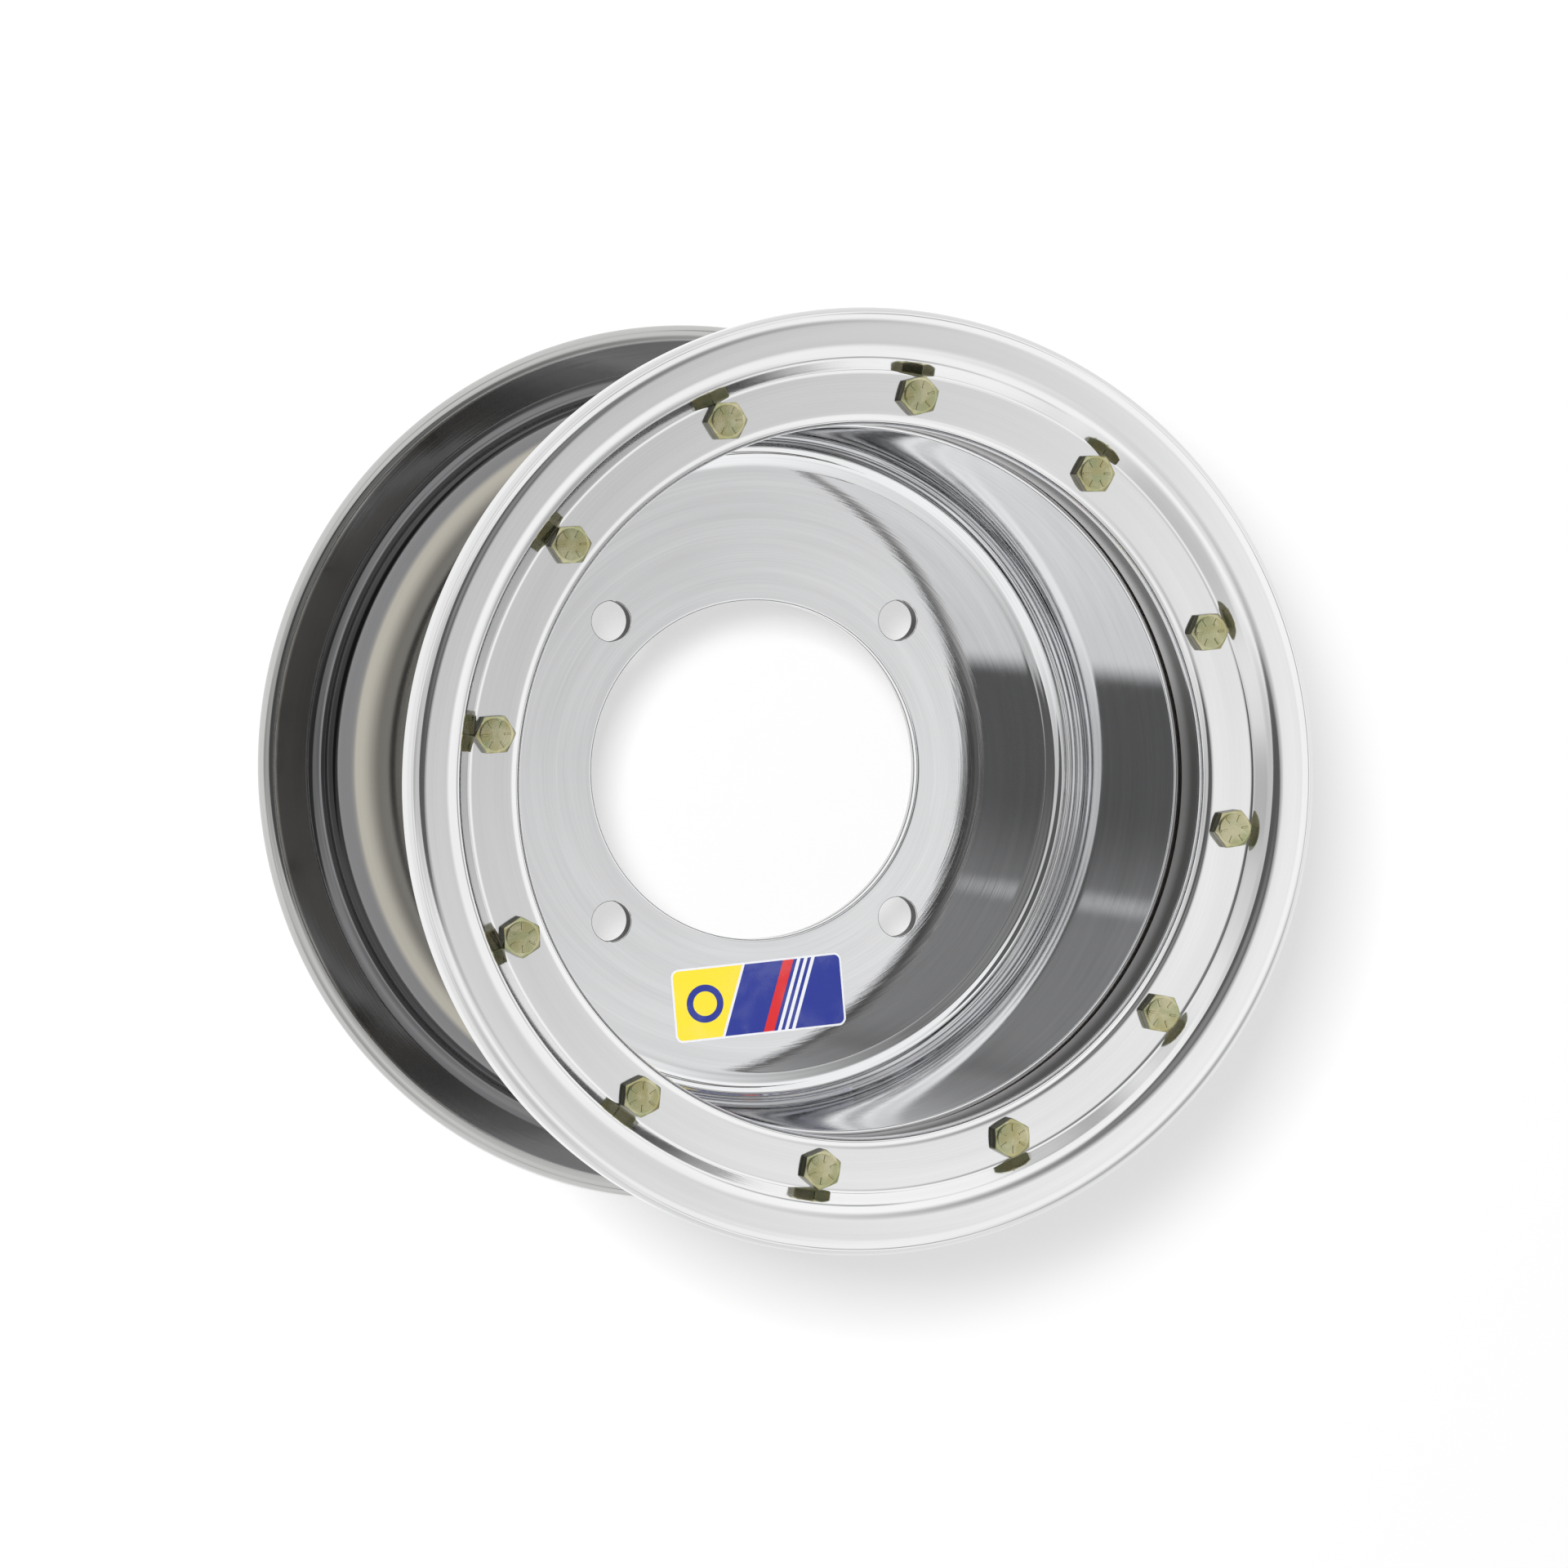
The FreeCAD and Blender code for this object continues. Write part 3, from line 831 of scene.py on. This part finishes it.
# clamp bolts: hex heads with rounded crowns and raised strokes, threaded shanks
clampBolt = {
    "seat": clampRing["corners"][1][1] * mm,
    "flats": 11.1,
    "headHeight": 4.0,
    "crownSlope": math.tan(math.radians(30)),
    "crownRadius": 4.95,
    "edgeSharpness": 46,               # higher gives crisper corners
    "sideSteps": (-30.0, -28.6, -27.0, -23.0, -15.0, -7.0, 0.0, 7.0, 15.0, 23.0, 27.0, 28.6),
    "topMiddle": 0.6,
    "topEdge": [(0.25, 0.0), (0.06, 0.01)],  # in from the crown's circle, down from the top
    "crownShares": (0.35, 0.9),
    "sideRings": [(0.999, -0.10), (1.0, -0.25), (1.0, 0.45), (0.992, 0.12), (0.97, 0.0)],  # reach, height
    "underHead": 0.1,
    "shank": 6.35,
    "length": 25.4,
    "pitch": 1.27,
    "threadDepth": 0.55,
    "threadShape": [(0.1, 0.0), (0.4, 0.0), (0.6, 1.0), (0.9, 1.0)],  # shares of pitch and depth
    "tip": 0.8,
    "tipCut": 0.3,
    "strokes": 6,
    "strokeFrom": 2.3,
    "strokeTo": 4.6,
    "strokeWide": 0.7,
    "strokeHigh": 0.3,
    "strokeSunk": 0.05,
    "strokeInset": 0.15,
    "strokeTaper": 0.6,
    "turnVariety": math.radians(30),
    "seed": 4,
    "edgeAngle": math.radians(35),
    "colour": rgb(0.47, 0.43, 0.22),
    "colourGreen": rgb(0.42, 0.44, 0.25),
    "colourPale": rgb(0.68, 0.64, 0.44),
    "cloudScale": 240.0,
    "cloudFade": (0.38, 0.62),
    "smudgeScale": 160.0,
    "smudgeShare": 0.7,
    "scratchScale": 500.0,
    "sideShade": 0.30,                  # painted shade: the head's sides are darker than its top
    "sideShadeFade": (0.2, 0.7),
    "rough": 0.14,
    "grainScale": 2600.0,
    "grainRough": 0.16,
    "bump": 0.25,
    "bumpDepth": 0.0001,
}
boxSides = ((0, 1, 5, 4), (1, 2, 6, 5), (2, 3, 7, 6), (3, 0, 4, 7), (4, 5, 6, 7), (3, 2, 1, 0))


def hexReach(angle, spec):  # distance to the head's side, corners softened
    total = 0.0
    for k in range(3):
        total += abs(math.cos(angle - k * math.pi / 3)) ** spec["edgeSharpness"]
    return spec["flats"] / 2 / total ** (1 / spec["edgeSharpness"])


def addStrokes(form, spec):  # raised strokes on the crown
    top = spec["headHeight"]
    near, far, inset = spec["strokeFrom"], spec["strokeTo"], spec["strokeInset"]
    places = []
    for start, end, side, z in ((near, far, 1.0, top - spec["strokeSunk"]),
                                (near + inset, far - inset, spec["strokeTaper"], top + spec["strokeHigh"])):
        places += [(start, -side, z), (end, -side, z), (end, side, z), (start, side, z)]
    for k in range(spec["strokes"]):
        turn = Matrix.Rotation(math.tau * (k + 0.5) / spec["strokes"], 4, "Z")
        corner = []
        for x, y, z in places:
            corner.append(form.verts.new(turn @ Vector((x, y * spec["strokeWide"] / 2, z)) * mm))
        for side in boxSides:
            form.faces.new([corner[i] for i in side])


def boltModel(spec):
    form = bmesh.new()
    angles = [math.radians(60.0 * side + step) for side in range(6) for step in spec["sideSteps"]]
    top = spec["headHeight"]
    crown = spec["crownRadius"]
    slope = spec["crownSlope"]
    shank = spec["shank"] / 2

    def ring(place):
        return [form.verts.new(Vector(place(a)) * mm) for a in angles]

    def atHex(share, height):  # below nought, the height counts down from the crown's edge
        def place(a):
            reach = hexReach(a, spec)
            z = height if height >= 0 else top - (reach - crown) * slope + height
            return (reach * math.cos(a) * share, reach * math.sin(a) * share, z)
        return place

    def atRound(radius, height):
        return lambda a: (radius * math.cos(a), radius * math.sin(a), height)

    def onCrown(share):  # between the round top and the hex side
        def place(a):
            r = crown + (hexReach(a, spec) - crown) * share
            return (r * math.cos(a), r * math.sin(a), top - max(0.0, r - crown) * slope)
        return place

    rings = [ring(atRound(spec["topMiddle"], top))]
    rings += [ring(atRound(crown - inset, top - drop)) for inset, drop in spec["topEdge"]]
    rings += [ring(onCrown(share)) for share in spec["crownShares"]]
    rings += [ring(atHex(share, height)) for share, height in spec["sideRings"]]
    rings.append(ring(atRound(shank + spec["underHead"], 0.0)))
    threaded = spec["length"] - spec["tip"]
    for k in range(int(threaded / spec["pitch"])):
        for share, cut in spec["threadShape"]:
            depth = (k + share) * spec["pitch"]
            rings.append(ring(atRound(shank - cut * spec["threadDepth"], -depth)))
    rings.append(ring(atRound(shank - spec["tipCut"], -threaded)))
    rings.append(ring(atRound(shank - spec["tip"], -spec["length"])))
    joinRings(form, rings)
    form.faces.new(rings[0])
    form.faces.new(rings[-1][::-1])
    addStrokes(form, spec)
    bmesh.ops.recalc_face_normals(form, faces=form.faces)
    return meshObject("boltModel", form)


def makeBoltTree():
    tree, given, out = newTree("ringOfBolts", [
        ("Bolt", "Object"), ("Count", "Int"), ("Circle", "Float"), ("First Angle", "Float"),
        ("Seat", "Float"), ("Turn Variety", "Float"), ("Seed", "Int"), ("Edge Angle", "Float"),
        ("Finish", "Material"),
    ])
    turn = addNode(tree, "FunctionNodeRandomValue", data_type="FLOAT")
    feed(tree, turn.inputs[2], calc(tree, "MULTIPLY", given["Turn Variety"], -1.0))
    feed(tree, turn.inputs[3], given["Turn Variety"])
    feed(tree, turn.inputs["Seed"], given["Seed"])
    bolts = copiesRound(tree, given["Bolt"], given["Count"], given["Circle"], given["First Angle"],
                        given["Seat"], turn.outputs[1])
    endTree(tree, smoothButEdges(tree, bolts, given["Edge Angle"]), given["Finish"], out)
    return tree


def zincFinish(spec):
    material, tree, shader = newFinish("yellowZincPlate")
    place = addNode(tree, "ShaderNodeTexCoord").outputs
    cloud = noiseAt(tree, place["Object"], spec["cloudScale"], 4.0)
    grain = noiseAt(tree, place["Object"], spec["grainScale"], 3.0)
    hands = placeGroup(tree, handlingMarks, Smudge_Scale=spec["smudgeScale"],
                       Scratch_Scale=spec["scratchScale"])
    greener = spread(tree, cloud, *spec["cloudFade"])
    colour = blendColour(tree, greener, spec["colour"], spec["colourGreen"])
    paler = calc(tree, "MULTIPLY", hands["Smudge"], spec["smudgeShare"])
    colour = blendColour(tree, paler, colour, spec["colourPale"])
    facing = addNode(tree, "ShaderNodeSeparateXYZ")
    feed(tree, facing.inputs[0], place["Normal"])
    # painted shade: the head's sides darker than its top, by the way they face
    tone = spread(tree, facing.outputs["Z"], *spec["sideShadeFade"], spec["sideShade"], 1.0)
    colour = blendColour(tree, 1.0, colour, greyOf(tree, tone), "MULTIPLY")
    feed(tree, shader.inputs["Base Color"], colour)
    rough = calc(tree, "MULTIPLY_ADD", grain, spec["grainRough"], spec["rough"])
    feed(tree, shader.inputs["Roughness"], rough)
    shader.inputs["Metallic"].default_value = 1.0
    addBump(tree, shader, grain, spec["bump"], spec["bumpDepth"])
    return material


def makeBolts(spec):
    model = boltModel(spec)
    start = bpy.data.meshes.new("boltStart")
    piece = runTree("clamp_bolts_zinc", start, makeBoltTree(), {
        "Bolt": model, "Count": boltHoles["count"], "Circle": boltHoles["circle"],
        "First Angle": boltHoles["first"], "Seat": spec["seat"], "Turn Variety": spec["turnVariety"],
        "Seed": spec["seed"], "Edge Angle": spec["edgeAngle"], "Finish": zincFinish(spec),
    })
    bpy.data.objects.remove(model)
    standFor(piece, "clamp_bolts")


makeBolts(clampBolt)

# welds: rippled beads laid round the barrel
welds = {
    "turnRadius": 0.11,
    "ringCorner": beadRing["corners"][3],
    "ringFit": 0.02,                   # how far the bead stands off the ring and the barrel
    "ringLeg": 4.9,
    "ringBulge": 0.35,
    "ringRipples": 300,
    "hubRipples": 286,
    "hubCorner": rearHalf["path"][1],  # the front half mirrors it across the seam
    "hubFit": 0.05,                    # how far the bead stands off the two bends
    "hubHalfGap": 2.5,
    "hubCrown": 0.8,
    "flankSteps": 5,
    "crownSteps": 12,
    "crownGain": 1.6,                  # ripples reach full height well before the middle
    "stepsPerRipple": 8,
    "rippleHeight": 0.32 * mm,
    "bow": 0.55,                       # how far each ripple curves ahead at its sides, in ripples
    "jitter": 0.9,
    "jitterScale": 70.0,
    "edgeAngle": math.radians(60),
    "colour": rgb(0.70, 0.70, 0.70),
    "sootColour": rgb(0.36, 0.35, 0.33),
    "sootFade": (0.35, 0.7),
    "lines": 900.0,
    "bands": 420.0,
    "stray": 40.0,
    "smudgeScale": 90.0,
    "scratchScale": 300.0,
    "rough": 0.32,
    "lineRough": 0.2,
    "bump": 0.2,
    "bumpDepth": 0.0001,
}


def makeWeldTree():
    tree, given, out = newTree("weldBead", [
        ("Turn Radius", "Float"), ("Segments", "Int"), ("Ripples", "Float"), ("Height", "Float"),
        ("Bow", "Float"), ("Jitter", "Float"), ("Jitter Scale", "Float"), ("Edge Angle", "Float"),
        ("Finish", "Material"),
    ])
    bead = sweepRound(tree, given["Geometry"], given["Turn Radius"], given["Segments"])
    apart = addNode(tree, "ShaderNodeSeparateXYZ")
    place = addNode(tree, "GeometryNodeInputPosition").outputs[0]
    feed(tree, apart.inputs[0], place)
    bearing = calc(tree, "ARCTAN2", apart.outputs["Y"], apart.outputs["X"])
    stored = {}
    for label in ("crown", "across"):
        node = addNode(tree, "GeometryNodeInputNamedAttribute", data_type="FLOAT")
        node.inputs["Name"].default_value = label
        stored[label] = node.outputs["Attribute"]
    phase = calc(tree, "MULTIPLY", calc(tree, "DIVIDE", bearing, math.tau), given["Ripples"])
    side = calc(tree, "POWER", calc(tree, "ABSOLUTE", stored["across"]), 2.0)
    phase = calc(tree, "MULTIPLY_ADD", side, given["Bow"], phase)
    phase = calc(tree, "MULTIPLY_ADD", noiseAt(tree, place, given["Jitter Scale"]), given["Jitter"], phase)
    swing = calc(tree, "MULTIPLY_ADD", calc(tree, "FRACT", phase), 2.0, -1.0)
    scallop = calc(tree, "SQRT", calc(tree, "SUBTRACT", 1.0, calc(tree, "MULTIPLY", swing, swing)))
    lift = calc(tree, "MULTIPLY", calc(tree, "MULTIPLY", scallop, stored["crown"]), given["Height"])
    push = addNode(tree, "ShaderNodeVectorMath", operation="SCALE")
    feed(tree, push.inputs[0], addNode(tree, "GeometryNodeInputNormal").outputs[0])
    feed(tree, push.inputs["Scale"], lift)
    rippled = addNode(tree, "GeometryNodeSetPosition")
    feed(tree, rippled.inputs["Geometry"], bead)
    feed(tree, rippled.inputs["Offset"], push.outputs[0])
    endTree(tree, smoothButEdges(tree, rippled.outputs[0], given["Edge Angle"]), given["Finish"], out)
    return tree


def weldFinish(spec):
    material, tree, shader = newFinish("weldedMetal")
    marks = placeGroup(tree, latheMarks, Lines_per_Metre=spec["lines"], Bands_per_Metre=spec["bands"],
                       Stray=spec["stray"])
    hands = placeGroup(tree, handlingMarks, Smudge_Scale=spec["smudgeScale"],
                       Scratch_Scale=spec["scratchScale"])
    soot = calc(tree, "MULTIPLY", hands["Smudge"], spread(tree, marks["Bands"], *spec["sootFade"]))
    feed(tree, shader.inputs["Base Color"], blendColour(tree, soot, spec["colour"], spec["sootColour"]))
    rough = calc(tree, "MULTIPLY_ADD", marks["Lines"], spec["lineRough"], spec["rough"])
    feed(tree, shader.inputs["Roughness"], rough)
    shader.inputs["Metallic"].default_value = 1.0
    addBump(tree, shader, marks["Lines"], spec["bump"], spec["bumpDepth"])
    return material


def filletWeld(spec):  # (points, crown, across) for the bead behind the fixed ring
    r = spec["ringCorner"][0] + spec["ringFit"]
    z = spec["ringCorner"][1] - spec["ringFit"]
    leg = spec["ringLeg"]
    points, crown, across = [(r, z)], [0.0], [0.0]
    for k in range(spec["crownSteps"] + 1):
        t = k / spec["crownSteps"]
        arch = math.sin(math.pi * t)
        bulge = spec["ringBulge"] * arch
        points.append((r + leg * t + bulge, z - leg * (1 - t) - bulge))
        crown.append(min(1.0, arch * spec["crownGain"]))
        across.append(2 * t - 1)
    return points, crown, across


def seamWeld(spec):  # bead in the groove between the two halves
    corner, seam, bend = spec["hubCorner"]
    reach = bend + spec["hubFit"]
    lowLean = math.acos(bend / reach)
    highLean = math.acos((bend - spec["hubHalfGap"]) / reach)
    flank = []
    for k in range(spec["flankSteps"] + 1):
        lean = lowLean + (highLean - lowLean) * k / spec["flankSteps"]
        flank.append((corner - bend + reach * math.sin(lean), bend - reach * math.cos(lean)))
    edge = flank[-1]
    points = [(r, seam + h) for r, h in flank]
    crown = [0.0] * len(points)
    across = [0.0] * len(points)
    for k in range(1, spec["crownSteps"]):
        t = 2 * k / spec["crownSteps"] - 1
        arch = 1 - t * t
        points.append((edge[0] + spec["hubCrown"] * arch, seam - edge[1] * t))
        crown.append(min(1.0, arch * spec["crownGain"]))
        across.append(t)
    for r, h in flank[:0:-1]:
        points.append((r, seam - h))
        crown.append(0.0)
        across.append(0.0)
    return points, crown, across


def makeWelds(spec):
    tree = makeWeldTree()
    finish = weldFinish(spec)
    middle = spec["turnRadius"]
    for name, node, section, ripples in (
        ("ring_weld_bead", "ring_weld", filletWeld(spec), spec["ringRipples"]),
        ("hub_weld_bead", "hub_weld", seamWeld(spec), spec["hubRipples"]),
    ):
        points, crown, across = section
        piece = runTree(name, sectionMesh(name + "Section", points, middle, [crown, across]), tree, {
            "Turn Radius": middle, "Segments": ripples * spec["stepsPerRipple"], "Ripples": float(ripples),
            "Height": spec["rippleHeight"], "Bow": spec["bow"], "Jitter": spec["jitter"],
            "Jitter Scale": spec["jitterScale"], "Edge Angle": spec["edgeAngle"], "Finish": finish,
        })
        standFor(piece, node)


makeWelds(welds)

# printed label on the hub disc: plain fields and bars, no words
hubLabel = {
    "middle": (1.0, -74.0),
    "turn": math.radians(5.0),
    "half": (29.0, 12.0),
    "corner": 2.6,
    "cornerSteps": 8,
    "seat": frontHalf["path"][0][1],
    "thick": 0.14,
    "layers": [(1.0, 0.0), (1.0, 0.6), (0.998, 1.0)],  # shares of outline and thickness
    "plan": 100.0,                     # width that the label's UV map covers
    "border": 0.7,
    "split": -8.5,                     # where the yellow field meets the blue one
    "splitHalf": 0.45,
    "slant": 0.38,
    "bars": [(5.0, 8.6, "red"), (9.8, 11.0, "white"), (12.2, 13.4, "white"), (14.6, 15.8, "white")],
    "ringMiddle": -18.2,
    "ringOuter": 6.2,
    "ringInner": 4.0,
    "white": rgb(0.80, 0.81, 0.84),
    "blue": rgb(0.010, 0.026, 0.27),
    "yellow": rgb(0.90, 0.72, 0.03),
    "red": rgb(0.66, 0.015, 0.02),
    "smudgeScale": 60.0,
    "scratchScale": 160.0,
    "smudgeShare": 0.06,
    "rough": 0.22,
    "smudgeRough": 0.12,
    "coat": 0.3,
    "coatRough": 0.1,
    "bump": 0.06,
    "bumpDepth": 0.0002,
}


def labelFinish(spec):
    material, tree, shader = newFinish("printedLabel")
    apart = addNode(tree, "ShaderNodeSeparateXYZ")
    feed(tree, apart.inputs[0], addNode(tree, "ShaderNodeUVMap", uv_map="labelPlan").outputs[0])
    plan = spec["plan"]
    across = calc(tree, "MULTIPLY_ADD", apart.outputs["X"], plan, -plan / 2)  # millimetres from the middle
    along = calc(tree, "MULTIPLY_ADD", apart.outputs["Y"], plan, -plan / 2)
    leaning = calc(tree, "MULTIPLY_ADD", along, -spec["slant"], across)
    split = spec["split"]
    colour = blendColour(tree, calc(tree, "GREATER_THAN", leaning, split), spec["yellow"], spec["blue"])
    gap = calc(tree, "LESS_THAN", calc(tree, "ABSOLUTE", calc(tree, "SUBTRACT", leaning, split)),
               spec["splitHalf"])
    colour = blendColour(tree, gap, colour, spec["white"])
    for low, high, ink in spec["bars"]:
        colour = blendColour(tree, between(tree, leaning, low, high), colour, spec[ink])
    reach = hypotenuse(tree, calc(tree, "SUBTRACT", across, spec["ringMiddle"]), along)
    ring = between(tree, reach, spec["ringInner"], spec["ringOuter"])
    colour = blendColour(tree, ring, colour, spec["blue"])
    over = []
    for place, half in zip((across, along), spec["half"]):  # how far into the corners
        past = calc(tree, "SUBTRACT", calc(tree, "ABSOLUTE", place), half - spec["corner"])
        over.append(calc(tree, "MAXIMUM", past, 0.0))
    edge = calc(tree, "GREATER_THAN", hypotenuse(tree, *over), spec["corner"] - spec["border"])
    colour = blendColour(tree, edge, colour, spec["white"])
    hands = placeGroup(tree, handlingMarks, Smudge_Scale=spec["smudgeScale"],
                       Scratch_Scale=spec["scratchScale"])
    worn = calc(tree, "MULTIPLY", hands["Smudge"], spec["smudgeShare"])
    feed(tree, shader.inputs["Base Color"], blendColour(tree, worn, colour, spec["white"]))
    rough = calc(tree, "MULTIPLY_ADD", hands["Smudge"], spec["smudgeRough"], spec["rough"])
    feed(tree, shader.inputs["Roughness"], rough)
    shader.inputs["Coat Weight"].default_value = spec["coat"]
    shader.inputs["Coat Roughness"].default_value = spec["coatRough"]
    addBump(tree, shader, hands["Smudge"], spec["bump"], spec["bumpDepth"])
    return material


def makeLabel(spec):
    halfX, halfY = spec["half"]
    corner = spec["corner"]
    outline = []
    for sx, sy, start in ((1, 1, 0), (-1, 1, 90), (-1, -1, 180), (1, -1, 270)):
        for k in range(spec["cornerSteps"] + 1):
            angle = math.radians(start + 90 * k / spec["cornerSteps"])
            outline.append((sx * (halfX - corner) + corner * math.cos(angle),
                            sy * (halfY - corner) + corner * math.sin(angle)))
    form = bmesh.new()
    plan = form.loops.layers.uv.new("labelPlan")
    layers = []
    for share, height in spec["layers"]:
        layers.append([form.verts.new((x * share, y * share, height * spec["thick"])) for x, y in outline])
    joinRings(form, layers[::-1])
    form.faces.new(layers[-1])
    form.faces.new(layers[0][::-1])
    for face in form.faces:
        for loop in face.loops:
            x, y, _ = loop.vert.co / spec["plan"]
            loop[plan].uv = (x + 0.5, y + 0.5)
    place = Matrix.Translation((*spec["middle"], spec["seat"]))
    form.transform(Matrix.Scale(mm, 4) @ place @ Matrix.Rotation(spec["turn"], 4, "Z"))
    label = meshObject("hub_label", form)
    label.data.materials.append(labelFinish(spec))
    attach(label, "root")
    print("made hub_label")


makeLabel(hubLabel)
